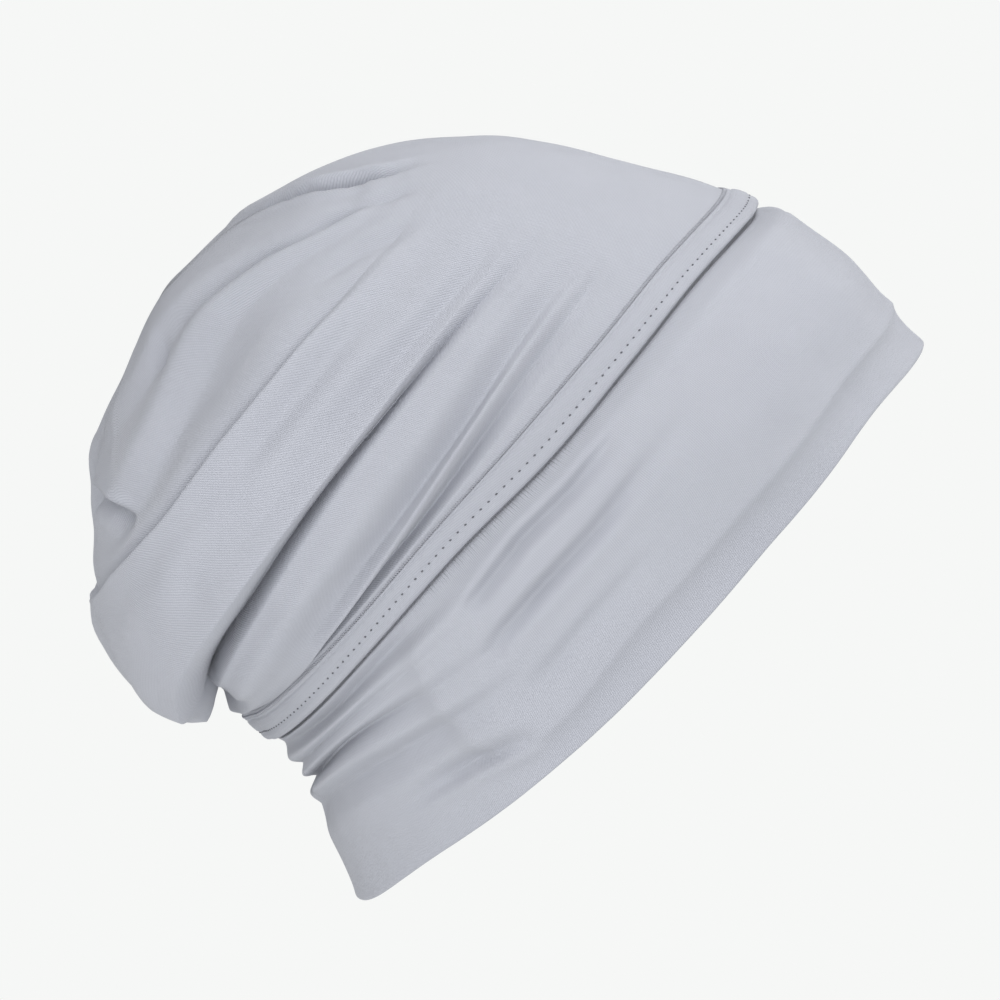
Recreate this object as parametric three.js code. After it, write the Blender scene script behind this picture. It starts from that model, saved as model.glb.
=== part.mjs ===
import * as THREE from "three";

// Turban cap of thin stretch jersey, held in the shape that it has when worn.
// Millimetres, +Z up, +X towards the brow, -Y towards the wearer's right ear.
// The form is set out in the head's own frame: `along` the brim plane towards the brow,
// `aside` towards the left ear, and `above` the brim plane. Angles run from the brow (0)
// over the right ear (90) to the nape (180) and back over the left ear.

// Driving sizes
const BRIM_TILT = 44.5;
const EAR_TAPER = 0.08;
const COLUMNS = 54;
const CLOTH = { crown: 1.1, band: 1.8, tape: 1.2, lining: 1.2 };
const TAPE_WIDTH = 8.6;
const TAPE_PROUD = 0.9;
const HEM_REACH = 3.0;
const BAND_REACH = 3.0;
const GAP = 0.35;
const TAPE_CHAMFER = 0.45;
const TAPE_CLEAR = 0.65;
const BAND_STEP = 1;
const PRESS_THROUGH = 0.8;
const PRESS_FADE = 0.2;
const LINING_GAP = 0.8;
const COLOUR = { crown: 0xb9bcc6, band: 0xbcbfc7, tape: 0xbabdc6, lining: 0xb4b7c0 };
const JERSEY_ROUGHNESS = 0.85;

// Sections of the form from the brim (0) to the tip of the crown (15): where each one meets
// the brow and the nape, its half width at the ears, and how far it dips there.
const SECTIONS = [
  { brow: [102.6, 0], nape: [-103, 0], half: 80, dip: 1.4 },
  { brow: [102.6, 14], nape: [-97, 13], half: 81.5, dip: 1.4 },
  { brow: [105, 29], nape: [-92.5, 27], half: 83, dip: 1 },
  { brow: [102.6, 44], nape: [-89.5, 41], half: 84, dip: 0 },
  { brow: [97.5, 59], nape: [-88, 54.5], half: 84, dip: -2 },
  { brow: [91.5, 71.5], nape: [-93, 60], half: 84.5, dip: -2 },
  { brow: [84.5, 84.5], nape: [-101, 68], half: 85, dip: -1.5 },
  { brow: [76, 98], nape: [-104.5, 80], half: 84, dip: -1 },
  { brow: [66.5, 111], nape: [-102, 92], half: 81, dip: 0 },
  { brow: [55.5, 122.5], nape: [-95, 103], half: 76, dip: 0 },
  { brow: [43.5, 132], nape: [-88, 113], half: 69, dip: 0 },
  { brow: [30, 140], nape: [-79, 122], half: 59, dip: 0 },
  { brow: [15, 146], nape: [-70, 130.5], half: 46, dip: 0 },
  { brow: [0, 149], nape: [-56, 138.5], half: 31, dip: 0 },
  { brow: [-14, 149.5], nape: [-42, 144.5], half: 16, dip: 0 },
  { brow: [-28, 147.5], nape: [-28, 147.5], half: 0, dip: 0 },
];

// Angles at which the tables below state their values
const STATIONS = [0, 40, 60, 80, 100, 120, 140, 160, 180];

// Level of the middle of the hem tape
const SEAM_LEVEL = [4.16, 4.25, 4.2, 4.05, 3.94, 3.87, 3.77, 3.68, 3.64];

// Crests and valleys of the crown, from the tape upwards: the level of each line, how far it
// stands out, and how far it laps down over its lower neighbour. A sharp valley is a crease.
const CROWN_LINES = [
  {
    name: "roll above the tape",
    level: [4.9, 4.98, 4.95, 4.72, 4.5, 4.3, 4.14, 4.08, 4.06],
    out: [0, 0.2, 0.4, 0.5, 0.2, -1.2, -2, -2, -2],
    lap: [0, 0, 0, 0, 0, 0, 0, 0, 0],
    sharp: 0,
    rows: 1,
  },
  {
    name: "valley that runs into the tape",
    level: [5.45, 5.5, 5.37, 5.15, 5.02, 4.62, 4.28, 4.22, 4.2],
    out: [0, -0.3, -1.6, -3, -3.6, -3.6, -3.4, -3.2, -3],
    lap: [0, 0, 0, 0, 0, 0, 0, 0, 0],
    sharp: 0.7,
    rows: 1,
  },
  {
    name: "thin ridge",
    level: [5.8, 5.78, 5.63, 5.47, 5.32, 5, 4.55, 4.42, 4.38],
    out: [0, 0, -0.2, -0.8, -1, -0.6, 0.2, -0.4, -1.6],
    lap: [0, 0, 0, 0, 0, 0.3, 1, 1.2, 1],
    sharp: 0,
    rows: 1,
  },
  {
    name: "shallow valley in front of the panel",
    level: [6.1, 6, 5.88, 5.8, 5.6, 5.35, 4.9, 4.66, 4.52],
    out: [0, 0, -1.2, -1.9, -1.3, 0.8, 2.2, 1.2, -1],
    lap: [0, 0, 0, 0, 0, 0.3, 1, 1, 0.8],
    sharp: 0.4,
    rows: 1,
  },
  {
    name: "smooth panel",
    level: [6.6, 6.5, 6.55, 6.4, 6.25, 5.95, 5.45, 4.98, 4.72],
    out: [0, 0.2, 0.6, 1.2, 2, 3, 3.4, 2, -1],
    lap: [0, 0, 0, 0, 0, 0, 0, 0, 0],
    sharp: 0,
    rows: 3,
  },
  {
    name: "deep valley under the big fold",
    level: [7.2, 7.1, 7.22, 7.07, 7, 6.7, 6.33, 5.65, 5.1],
    out: [0, -0.4, -1.8, -3.4, -5, -7, -9, -9, -6],
    lap: [0, 0, 0, 0, 0, 0, 0, 0, 0],
    sharp: 0.8,
    rows: 3,
  },
  {
    name: "free edge of the big fold",
    level: [7.6, 7.45, 7.5, 7.5, 7.5, 7.3, 7.1, 6.3, 5.65],
    out: [0, 0.2, 0.8, 2, 3, 4, 4.6, 3.6, 1.6],
    lap: [0, 0, 0.3, 1.2, 2.4, 4, 5.4, 5.8, 5.4],
    sharp: 0,
    rows: 3,
  },
  {
    name: "soft valley on the big fold",
    level: [8, 7.95, 7.85, 7.95, 7.95, 7.85, 7.75, 7.2, 6.8],
    out: [0, -0.2, -0.6, 0.2, 1, 2, 3, 2.6, 2],
    lap: [0, 0, 0, 0, 0.6, 1, 1.4, 1.2, 1],
    sharp: 0,
    rows: 2,
  },
  {
    name: "broad back of the big fold",
    level: [8.6, 8.4, 8.35, 8.6, 8.6, 8.55, 8.6, 8.6, 8.65],
    out: [0, 0.2, 0.8, 1.7, 2.4, 3, 3.2, 3, 2.8],
    lap: [0, 0, 0, 0, 0, 0, 0, 0, 0],
    sharp: 0,
    rows: 2,
  },
  {
    name: "crisp crease over the big fold",
    level: [9.3, 9.1, 9.02, 9.33, 9.27, 9.24, 9.28, 9.26, 9.22],
    out: [0, 0, -0.8, -1.6, -1.8, -1.6, -1.6, -1.6, -1.6],
    lap: [0, 0, 0, 0, 0, 0, 0, 0, 0],
    sharp: 0.7,
    rows: 2,
  },
  {
    name: "flat field",
    level: [10, 9.8, 9.65, 10.1, 10, 9.65, 9.75, 9.85, 9.9],
    out: [0, 0.3, 0.6, 0.5, 0.3, 0.3, 0.6, 0.9, 0.9],
    lap: [0, 0, 0, 0, 0, 0, 0, 0, 0],
    sharp: 0,
    rows: 1,
  },
  {
    name: "lower soft valley of the top",
    level: [10.8, 10.3, 10.1, 11.05, 10.9, 10.2, 10.4, 10.8, 11],
    out: [0, -0.2, -0.8, -0.9, -0.8, -0.6, -0.6, -0.8, -1],
    lap: [0, 0, 0, 0, 0, 0, 0, 0, 0],
    sharp: 0,
    rows: 2,
  },
  {
    name: "low ridge of the top",
    level: [11.5, 10.8, 11.1, 11.8, 11.75, 11.3, 11.4, 11.75, 11.9],
    out: [0, 0.2, 0.4, 0.4, 0.4, 0.4, 0.6, 0.9, 1],
    lap: [0, 0, 0, 0, 0, 0, 0, 0, 0],
    sharp: 0,
    rows: 1,
  },
  {
    name: "upper soft valley of the top",
    level: [12.2, 11.5, 11.95, 12.55, 12.55, 12.3, 12.4, 12.6, 12.7],
    out: [0, -0.8, -1.4, -1.3, -1, -0.8, -0.6, -0.4, -0.4],
    lap: [0, 0, 0, 0, 0, 0, 0, 0, 0],
    sharp: 0.2,
    rows: 2,
  },
  {
    name: "round of the tip",
    level: [13.4, 13.4, 13.4, 13.5, 13.5, 13.4, 13.4, 13.4, 13.4],
    out: [0.3, 0.3, 0.3, 0.3, 0.3, 0.3, 0.3, 0.3, 0.3],
    lap: [0, 0, 0, 0, 0, 0, 0, 0, 0],
    sharp: 0,
    rows: 2,
  },
];

// Soft rolls and valleys of the headband, from the brim upwards; they fan out from the
// ruching at the centre of the back.
const BAND_LINES = [
  {
    name: "roll above the brim",
    level: [0.7, 0.7, 0.7, 0.7, 0.75, 0.85, 0.95, 0.9, 0.8],
    out: [0, 0, 0, 0, 0, 0.2, 0.4, 0.4, 0.3],
    sharp: 0,
    rows: 2,
  },
  {
    name: "lowest valley",
    level: [1.35, 1.35, 1.35, 1.35, 1.35, 1.42, 1.53, 1.5, 1.3],
    out: [0, 0, 0, 0, 0, -0.4, -0.8, -0.8, -0.4],
    sharp: 0,
    rows: 1,
  },
  {
    name: "second roll",
    level: [1.8, 1.8, 1.8, 1.8, 1.8, 1.95, 1.95, 1.8, 1.6],
    out: [0, 0, 0, 0, 0, 0.4, 0.9, 1.1, 1],
    sharp: 0,
    rows: 1,
  },
  {
    name: "notch valley",
    level: [2.2, 2.2, 2.2, 2.2, 2.25, 2.42, 2.33, 2.12, 1.9],
    out: [0, 0, 0, 0, -0.1, -0.8, -2, -2.4, -2.2],
    sharp: 0.6,
    rows: 1,
  },
  {
    name: "third roll",
    level: [2.55, 2.55, 2.55, 2.55, 2.5, 2.62, 2.55, 2.36, 2.12],
    out: [0, 0, 0, 0, 0.1, 0.3, 0.6, 0.8, 0.9],
    sharp: 0,
    rows: 1,
  },
  {
    name: "thin crease",
    level: [2.95, 2.95, 2.93, 2.88, 2.83, 2.82, 2.76, 2.6, 2.36],
    out: [0, 0, -0.3, -0.5, -0.4, -0.6, -1, -1.2, -1.2],
    sharp: 0.3,
    rows: 1,
  },
  {
    name: "fourth roll",
    level: [3.2, 3.2, 3.2, 3.12, 3.1, 3.08, 3, 2.9, 2.66],
    out: [0, 0, 0.1, 0.1, 0.1, 0.3, 0.7, 0.9, 0.9],
    sharp: 0,
    rows: 1,
  },
  {
    name: "valley below the tape",
    level: [3.45, 3.47, 3.46, 3.38, 3.37, 3.32, 3.24, 3.14, 2.98],
    out: [0, -0.1, -0.5, -0.7, -0.6, -0.8, -1.1, -1.2, -1.2],
    sharp: 0.2,
    rows: 1,
  },
];

// The crease that runs from front to back beside the middle of the crown
const TOP_CREASE = { angle: 25, halfWidth: 10, from: 8.8, to: 13.6, fade: 1.3, depth: 1.6 };

// The left side isn't shown: it mirrors the right one, shifted a little at the ear.
const LEFT_SIDE = { levelShift: 0.14, reliefScale: 0.88 };

// Outline of the inner layer at the forehead, in degrees and levels: its rear end, the stretch
// over which that end is rounded, its lower edge, middle and upper edge, and its rows of points
const LINING = { end: 117, round: 30, low: 0.5, middle: 2.1, top: 3.5, rows: 6 };

// How far the headband's step over the edge of that layer spreads, in millimetres, and the
// rough size there of a level and of a degree
const PRESS_SPREAD = 5;
const PER_LEVEL = 14;
const PER_DEGREE = 1.5;

// Half the span over which a surface's direction is read
const READ_ANGLE = 1.5;
const READ_ROW = 0.34;
const READ_TAPE = 2;

// The brim's fold line hangs a little below the edges of its two faces.
const BRIM_ROUND = { fold: 0.35, edge: 0.15 };

const rad = THREE.MathUtils.degToRad;
const clamp = THREE.MathUtils.clamp;

function smooth(u) {
  const t = clamp(u, 0, 1);
  return t * t * (3 - 2 * t);
}

function spline(before, from, to, after, t) {
  const slope = (to - before) * t;
  const bend = (2 * before - 5 * from + 4 * to - after) * t * t;
  const twist = (3 * from - before - 3 * to + after) * t * t * t;
  return 0.5 * (2 * from + slope + bend + twist);
}

function sectionAt(level) {
  const last = SECTIONS.length - 1;
  const at = clamp(level, 0, last);
  const i = Math.min(Math.floor(at), last - 1);
  const t = at - i;
  const pick = (read) => {
    const from = read(SECTIONS[i]);
    const to = read(SECTIONS[i + 1]);
    const before = i > 0 ? read(SECTIONS[i - 1]) : 2 * from - to;
    const after = i < last - 1 ? read(SECTIONS[i + 2]) : 2 * to - from;
    return spline(before, from, to, after, t);
  };
  return {
    browAlong: pick((s) => s.brow[0]),
    browAbove: pick((s) => s.brow[1]),
    napeAlong: pick((s) => s.nape[0]),
    napeAbove: pick((s) => s.nape[1]),
    half: pick((s) => s.half),
    dip: pick((s) => s.dip),
  };
}

// A point of the smooth form, before any fold
function formPoint(angle, level) {
  const s = sectionAt(level);
  const c = Math.cos(rad(angle));
  const sn = Math.sin(rad(angle));
  const along = (s.browAlong + s.napeAlong) / 2 + ((s.browAlong - s.napeAlong) / 2) * c;
  const above = (s.browAbove + s.napeAbove) / 2 + ((s.browAbove - s.napeAbove) / 2) * c;
  const aside = -s.half * sn * (1 - EAR_TAPER * c);
  return new THREE.Vector3(along, aside, above - s.dip * sn * sn);
}

// The smooth form's outward and upward directions, and its length per level
function formFrame(angle, level) {
  const near = Math.min(level, SECTIONS.length - 1.1);
  const ahead = formPoint(angle + 0.5, near);
  const behind = formPoint(angle - 0.5, near);
  const round = ahead.sub(behind).normalize();
  const rise = formPoint(angle, near + 0.05).sub(formPoint(angle, Math.max(near - 0.05, 0)));
  const perLevel = rise.length() / (near < 0.05 ? 0.05 + near : 0.1);
  const out = new THREE.Vector3().crossVectors(rise, round).normalize();
  const up = new THREE.Vector3().crossVectors(round, out).normalize();
  return { out, up, perLevel };
}

function foldedAngle(angle) {
  const turn = ((angle % 360) + 360) % 360;
  return turn > 180 ? 360 - turn : turn;
}

function isLeft(angle) {
  return ((angle % 360) + 360) % 360 > 180;
}

// A table value at any angle, with level ends at the brow and the nape
function stationValue(values, angle) {
  const a = foldedAngle(angle);
  const last = STATIONS.length - 1;
  let i = 0;
  while (i < last - 1 && a > STATIONS[i + 1]) i += 1;
  const slopeAt = (k) => {
    if (k === 0 || k === last) return 0;
    return (values[k + 1] - values[k - 1]) / (STATIONS[k + 1] - STATIONS[k - 1]);
  };
  const step = STATIONS[i + 1] - STATIONS[i];
  const t = (a - STATIONS[i]) / step;
  const fromPart = values[i] * (1 + 2 * t) * (1 - t) * (1 - t);
  const toPart = values[i + 1] * t * t * (3 - 2 * t);
  const slopes = slopeAt(i) * t * (1 - t) * (1 - t) - slopeAt(i + 1) * t * t * (1 - t);
  return fromPart + toPart + slopes * step;
}

function levelBeside(angle, distance) {
  const seam = stationValue(SEAM_LEVEL, angle);
  return seam + distance / formFrame(angle, seam).perLevel;
}

// One line of a table at one angle; a left-hand line is shifted by up to `leftShift` levels
function lineAt(line, angle, leftShift) {
  const wave = isLeft(angle) ? Math.sin(rad(angle)) ** 2 : 0;
  const scale = 1 - (1 - LEFT_SIDE.reliefScale) * wave;
  return {
    level: stationValue(line.level, angle) + leftShift * wave,
    out: stationValue(line.out, angle) * scale,
    lap: line.lap ? stationValue(line.lap, angle) * scale : 0,
    sharp: line.sharp,
    rows: line.rows,
  };
}

// A line at a fixed distance from the middle of the hem tape, where the cloth lies flat
function flatLine(angle, distance, out, rows) {
  return { level: levelBeside(angle, distance), out, lap: 0, sharp: 0, rows };
}

// From one line to the next: rounded at a crest, and cut in at a sharp valley
function flank(from, to, u) {
  const round = (1 - Math.cos(Math.PI * u)) / 2;
  const leave = Math.sin((Math.PI * u) / 2) - round;
  const arrive = 1 - Math.sin((Math.PI * (1 - u)) / 2) - round;
  return round + from.sharp * leave + to.sharp * arrive;
}

function betweenLines(lines, v) {
  const i = clamp(Math.floor(v), 0, lines.length - 2);
  const u = v - i;
  const from = lines[i];
  const to = lines[i + 1];
  const f = flank(from, to, u);
  return {
    level: from.level + (to.level - from.level) * u,
    out: from.out + (to.out - from.out) * f,
    lap: from.lap + (to.lap - from.lap) * f,
  };
}

function place(angle, spot) {
  const frame = formFrame(angle, spot.level);
  const point = formPoint(angle, spot.level);
  return point.addScaledVector(frame.out, spot.out).addScaledVector(frame.up, -spot.lap);
}

function topCrease(angle, level) {
  const across = 1 - Math.abs(foldedAngle(angle) - TOP_CREASE.angle) / TOP_CREASE.halfWidth;
  if (isLeft(angle) || across <= 0) return 0;
  const start = smooth((level - TOP_CREASE.from) / TOP_CREASE.fade);
  const stop = smooth((TOP_CREASE.to - level) / TOP_CREASE.fade);
  return -TOP_CREASE.depth * smooth(across) * start * stop;
}

function crownLines(angle) {
  const hem = TAPE_PROUD - CLOTH.tape - GAP;
  const last = CROWN_LINES[CROWN_LINES.length - 1];
  const tip = { level: SECTIONS.length - 1, out: last.out[0], lap: 0, sharp: 0, rows: 2 };
  const folds = CROWN_LINES.map((line) => lineAt(line, angle, LEFT_SIDE.levelShift));
  const under = flatLine(angle, -HEM_REACH, hem, 2);
  const beside = flatLine(angle, TAPE_WIDTH / 2 + TAPE_CLEAR, hem, 2);
  return [under, beside, ...folds, tip];
}

function crownSpot(angle, v) {
  const spot = betweenLines(crownLines(angle), v);
  spot.out += topCrease(angle, spot.level);
  return place(angle, spot);
}

// The levels of the inner layer's lower and upper edge, which meet at its rounded end
function liningEdges(angle) {
  const along = (foldedAngle(angle) - LINING.end) / LINING.round + 1;
  const open = Math.sqrt(1 - clamp(along, 0, 1) ** 2);
  const low = LINING.middle - (LINING.middle - LINING.low) * open;
  const top = LINING.middle + (LINING.top - LINING.middle) * open;
  return { low, top };
}

// How much the inner layer lifts the headband: 1 over it, 0 beyond its rounded end
function liningCover(angle, level) {
  const { low, top } = liningEdges(angle);
  const side = Math.min(level - low, top - level) * PER_LEVEL;
  const end = (LINING.end - foldedAngle(angle)) * PER_DEGREE;
  return smooth(0.5 + Math.min(side, end) / PRESS_SPREAD);
}

function bandLines(angle) {
  const under = TAPE_PROUD - CLOTH.tape - CLOTH.crown - 2 * GAP;
  const brim = { level: 0, out: 0, lap: 0, sharp: 0, rows: 1 };
  const folds = BAND_LINES.map((line) => lineAt(line, angle, 0));
  const beside = flatLine(angle, -TAPE_WIDTH / 2 - TAPE_CLEAR, under + BAND_STEP, 1);
  const tuck = flatLine(angle, -HEM_REACH - GAP, under, 1);
  const edge = flatLine(angle, BAND_REACH, under, 1);
  return [brim, ...folds, beside, tuck, edge];
}

// The inner layer ends below the tape, so it lifts the headband only that far up.
function bandSpot(angle, v) {
  const lines = bandLines(angle);
  const spot = betweenLines(lines, v);
  const fade = smooth(1 + (lines[BAND_LINES.length].level - spot.level) / PRESS_FADE);
  spot.out += PRESS_THROUGH * liningCover(angle, spot.level) * fade;
  return place(angle, spot);
}

function tapeSpot(angle, v) {
  const level = levelBeside(angle, v);
  return place(angle, { level, out: TAPE_PROUD, lap: 0 });
}

// A spot moved inwards, square to the folded surface, which runs from one limit to the other
function inside(spot, angle, v, depth, limits) {
  const point = spot(angle, v);
  if (depth === 0) return point;
  const round = spot(angle + READ_ANGLE, v).sub(spot(angle - READ_ANGLE, v));
  const above = spot(angle, Math.min(v + limits.read, limits.to));
  const below = spot(angle, Math.max(v - limits.read, limits.from));
  const normal = new THREE.Vector3().crossVectors(above.sub(below), round).normalize();
  return point.addScaledVector(normal, -depth);
}

const TILT = rad(BRIM_TILT);

function toWorld(p) {
  const x = p.x * Math.cos(TILT) - p.z * Math.sin(TILT);
  const z = p.x * Math.sin(TILT) + p.z * Math.cos(TILT);
  return new THREE.Vector3(x, p.y, z);
}

// One closed body from loops of points, joined in order. Points that coincide are shared, so
// a loop that shrinks to a tip or to a line closes the body there.
function bodyFromLoops(loops, closed) {
  const positions = [];
  const index = [];
  const known = new Map();
  const ids = loops.map((loop) =>
    loop.map((p) => {
      const key = [p.x, p.y, p.z].map((c) => Math.round(c * 1e4)).join();
      if (!known.has(key)) {
        known.set(key, positions.length / 3);
        positions.push(p.x, p.y, p.z);
      }
      return known.get(key);
    }),
  );
  const at = (id) => new THREE.Vector3().fromArray(positions, id * 3);
  const add = (a, b, c) => {
    if (a !== b && b !== c && c !== a) index.push(a, b, c);
  };
  const count = closed ? loops.length : loops.length - 1;
  for (let i = 0; i < count; i += 1) {
    const here = ids[i];
    const next = ids[(i + 1) % loops.length];
    for (let j = 0; j < here.length; j += 1) {
      const k = (j + 1) % here.length;
      const quad = [here[j], here[k], next[k], next[j]];
      const one = at(quad[0]).distanceTo(at(quad[2]));
      const other = at(quad[1]).distanceTo(at(quad[3]));
      if (one <= other) {
        add(quad[0], quad[1], quad[2]);
        add(quad[0], quad[2], quad[3]);
      } else {
        add(quad[1], quad[2], quad[3]);
        add(quad[1], quad[3], quad[0]);
      }
    }
  }
  const geometry = new THREE.BufferGeometry();
  geometry.setAttribute("position", new THREE.Float32BufferAttribute(positions, 3));
  geometry.setIndex(index);
  geometry.computeVertexNormals();
  return geometry;
}

function cloth(name, geometry, colour) {
  const material = new THREE.MeshStandardMaterial({
    color: colour,
    roughness: JERSEY_ROUGHNESS,
    metalness: 0,
    name,
  });
  const mesh = new THREE.Mesh(geometry, material);
  mesh.name = name;
  return mesh;
}

// Places along the lines of a table, with each line's own number of steps up to it
function rowsOf(lines) {
  const rows = [0];
  for (let i = 1; i < lines.length; i += 1) {
    const steps = lines[i].rows;
    for (let k = 1; k <= steps; k += 1) rows.push(i - 1 + k / steps);
  }
  return rows;
}

function limitsOf(lines) {
  return { from: 0, to: lines.length - 1, read: READ_ROW };
}

function ringAngles() {
  return Array.from({ length: COLUMNS }, (_, i) => (i * 360) / COLUMNS);
}

function crown() {
  const lines = crownLines(0);
  const rows = rowsOf(lines);
  const limits = limitsOf(lines);
  const last = rows.length - 1;
  const tip = crownSpot(0, limits.to);
  const innerTip = tip.clone().setZ(tip.z - CLOTH.crown);
  const loops = ringAngles().map((angle) => {
    const outer = rows.map((v) => crownSpot(angle, v));
    const inner = rows.map((v) => inside(crownSpot, angle, v, CLOTH.crown, limits));
    outer[last] = tip.clone();
    inner[last] = innerTip.clone();
    return [...outer, ...inner.reverse()].map(toWorld);
  });
  return cloth("crown", bodyFromLoops(loops, true), COLOUR.crown);
}

function headband() {
  const lines = bandLines(0);
  const rows = rowsOf(lines);
  const limits = limitsOf(lines);
  const loops = ringAngles().map((angle) => {
    const outer = rows.map((v) => bandSpot(angle, v));
    const inner = rows.map((v) => inside(bandSpot, angle, v, CLOTH.band, limits));
    const fold = outer[0].clone().lerp(inner[0], 0.5);
    fold.z -= CLOTH.band * BRIM_ROUND.fold;
    outer[0].z += CLOTH.band * BRIM_ROUND.edge;
    inner[0].z += CLOTH.band * BRIM_ROUND.edge;
    return [fold, ...outer, ...inner.reverse()].map(toWorld);
  });
  return cloth("headband", bodyFromLoops(loops, true), COLOUR.band);
}

function seamBand() {
  const half = TAPE_WIDTH / 2;
  const limits = { from: -half, to: half, read: READ_TAPE };
  const shape = [
    { across: -half, depth: TAPE_CHAMFER },
    { across: -half + TAPE_CHAMFER, depth: 0 },
    { across: half - TAPE_CHAMFER, depth: 0 },
    { across: half, depth: TAPE_CHAMFER },
    { across: half, depth: CLOTH.tape },
    { across: -half, depth: CLOTH.tape },
  ];
  const loops = ringAngles().map((angle) =>
    shape.map((p) => toWorld(inside(tapeSpot, angle, p.across, p.depth, limits))),
  );
  return cloth("seam_band", bodyFromLoops(loops, true), COLOUR.tape);
}

// Where along the headband's lines a level lies
function bandPlaceOf(lines, level) {
  let i = 0;
  while (i < lines.length - 2 && lines[i + 1].level < level) i += 1;
  return i + (level - lines[i].level) / (lines[i + 1].level - lines[i].level);
}

function frontLining() {
  const step = 360 / COLUMNS;
  const reach = Math.floor(LINING.end / step) * step;
  const angles = [-LINING.end];
  for (let a = -reach; a <= reach; a += step) angles.push(a);
  angles.push(LINING.end);
  const limits = limitsOf(bandLines(0));
  const face = CLOTH.band + LINING_GAP;
  const loops = angles.map((angle) => {
    const { low, top } = liningEdges(angle);
    const lines = bandLines(angle);
    const rows = [];
    for (let k = 0; k <= LINING.rows; k += 1) {
      rows.push(bandPlaceOf(lines, low + ((top - low) * k) / LINING.rows));
    }
    const outer = rows.map((v) => inside(bandSpot, angle, v, face, limits));
    const inner = rows.map((v) => inside(bandSpot, angle, v, face + CLOTH.lining, limits));
    return [...outer, ...inner.reverse()].map(toWorld);
  });
  return cloth("front_lining", bodyFromLoops(loops, false), COLOUR.lining);
}

const cap = new THREE.Group();
cap.name = "turban_cap";
cap.add(crown(), seamBand(), headband(), frontLining());

export default cap;
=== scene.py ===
"""Looks of a slouched turban cap of thin jersey, held in its worn shape.

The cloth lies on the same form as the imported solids, fitted more closely to the photograph,
and adds finer folds, a knit that follows the cloth, and real stitches. Tables are in
millimetres, in degrees from the brow over the right ear to the nape, and in levels from the
brim (0) to the tip of the crown (15).
"""

import logging
import math
from dataclasses import dataclass
from enum import Enum, IntEnum
from functools import cached_property

import bpy
import numpy as np
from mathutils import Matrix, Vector


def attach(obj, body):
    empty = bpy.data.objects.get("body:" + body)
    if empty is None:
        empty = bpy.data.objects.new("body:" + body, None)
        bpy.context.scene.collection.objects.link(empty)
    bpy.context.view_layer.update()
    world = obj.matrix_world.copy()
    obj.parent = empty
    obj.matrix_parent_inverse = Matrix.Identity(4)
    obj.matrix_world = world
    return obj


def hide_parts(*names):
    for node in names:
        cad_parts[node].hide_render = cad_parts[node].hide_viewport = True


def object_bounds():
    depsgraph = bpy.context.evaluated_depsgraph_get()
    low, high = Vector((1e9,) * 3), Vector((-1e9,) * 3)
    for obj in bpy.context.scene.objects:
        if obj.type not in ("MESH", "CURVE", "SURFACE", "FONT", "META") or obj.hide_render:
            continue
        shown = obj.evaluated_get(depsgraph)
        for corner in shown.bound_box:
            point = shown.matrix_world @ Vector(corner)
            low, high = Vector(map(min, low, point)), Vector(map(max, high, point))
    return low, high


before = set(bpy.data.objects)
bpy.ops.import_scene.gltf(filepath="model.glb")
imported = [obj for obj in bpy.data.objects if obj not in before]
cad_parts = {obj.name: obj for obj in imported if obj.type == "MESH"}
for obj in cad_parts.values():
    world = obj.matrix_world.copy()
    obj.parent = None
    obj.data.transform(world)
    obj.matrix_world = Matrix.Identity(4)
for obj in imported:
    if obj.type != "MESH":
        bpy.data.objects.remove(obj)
CAD_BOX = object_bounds()

LOG = logging.getLogger("turban_cap")
MM = 0.001
TINY = 1e-6
ROOT = "root"
UV_NAME = "knit"
Array = np.ndarray
Colour = tuple[float, float, float]
Values = dict[str | int, object]


class Role(Enum):
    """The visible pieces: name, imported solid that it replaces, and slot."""

    CROWN = ("crown_cloth", "crown", "crown_jersey")
    BAND = ("headband_cloth", "headband", "band_jersey")
    LINING = ("forehead_lining", "front_lining", "lining_jersey")
    TAPE = ("hem_tape", "seam_band", "tape_jersey")
    OVER_EDGE = ("over_edge_stitches", None, "tape_jersey")
    RUNNING = ("running_stitches", None, "tape_jersey")

    def __init__(self, piece: str, node: str | None, slot: str) -> None:
        """Name the parts of the value."""
        self.piece, self.node, self.slot = piece, node, slot


# The form and its folds


@dataclass(frozen=True)
class Section:
    """One ring of the smooth form, in millimetres along and above the brim plane."""

    brow: tuple[float, float]
    nape: tuple[float, float]
    half: float
    dip: float


SECTIONS = (
    Section((102.6, 0), (-103, 0), 80, 1.4),
    Section((102.6, 14), (-97, 13), 81.5, 1.4),
    Section((105, 29), (-92.5, 27), 83, 1),
    Section((102.6, 44), (-89.5, 41), 84, 0),
    Section((97.5, 59), (-88, 54.5), 84, -2),
    Section((91.5, 71.5), (-93, 60), 84.5, -2),
    Section((84.5, 84.5), (-101, 68), 85, -1.5),
    Section((76, 98), (-104.5, 80), 84, -1),
    Section((66.5, 111), (-102, 92), 81, 0),
    Section((55.5, 122.5), (-95, 103), 76, 0),
    Section((43.5, 132), (-88, 113), 69, 0),
    Section((30, 140), (-79, 122), 59, 0),
    Section((15, 146), (-70, 130.5), 46, 0),
    Section((0, 149), (-56, 138.5), 31, 0),
    Section((-14, 149.5), (-42, 144.5), 16, 0),
    Section((-28, 147.5), (-28, 147.5), 0, 0),
)


@dataclass(frozen=True)
class Pull:
    """A soft push or pull of the form round one place, on both sides alike.

    `out` and `up` say how far the cloth there moves, in millimetres, and `reach` how far
    round it the move fades away.
    """

    angle: float
    level: float
    reach: float
    out: float
    up: float = 0.0


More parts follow.
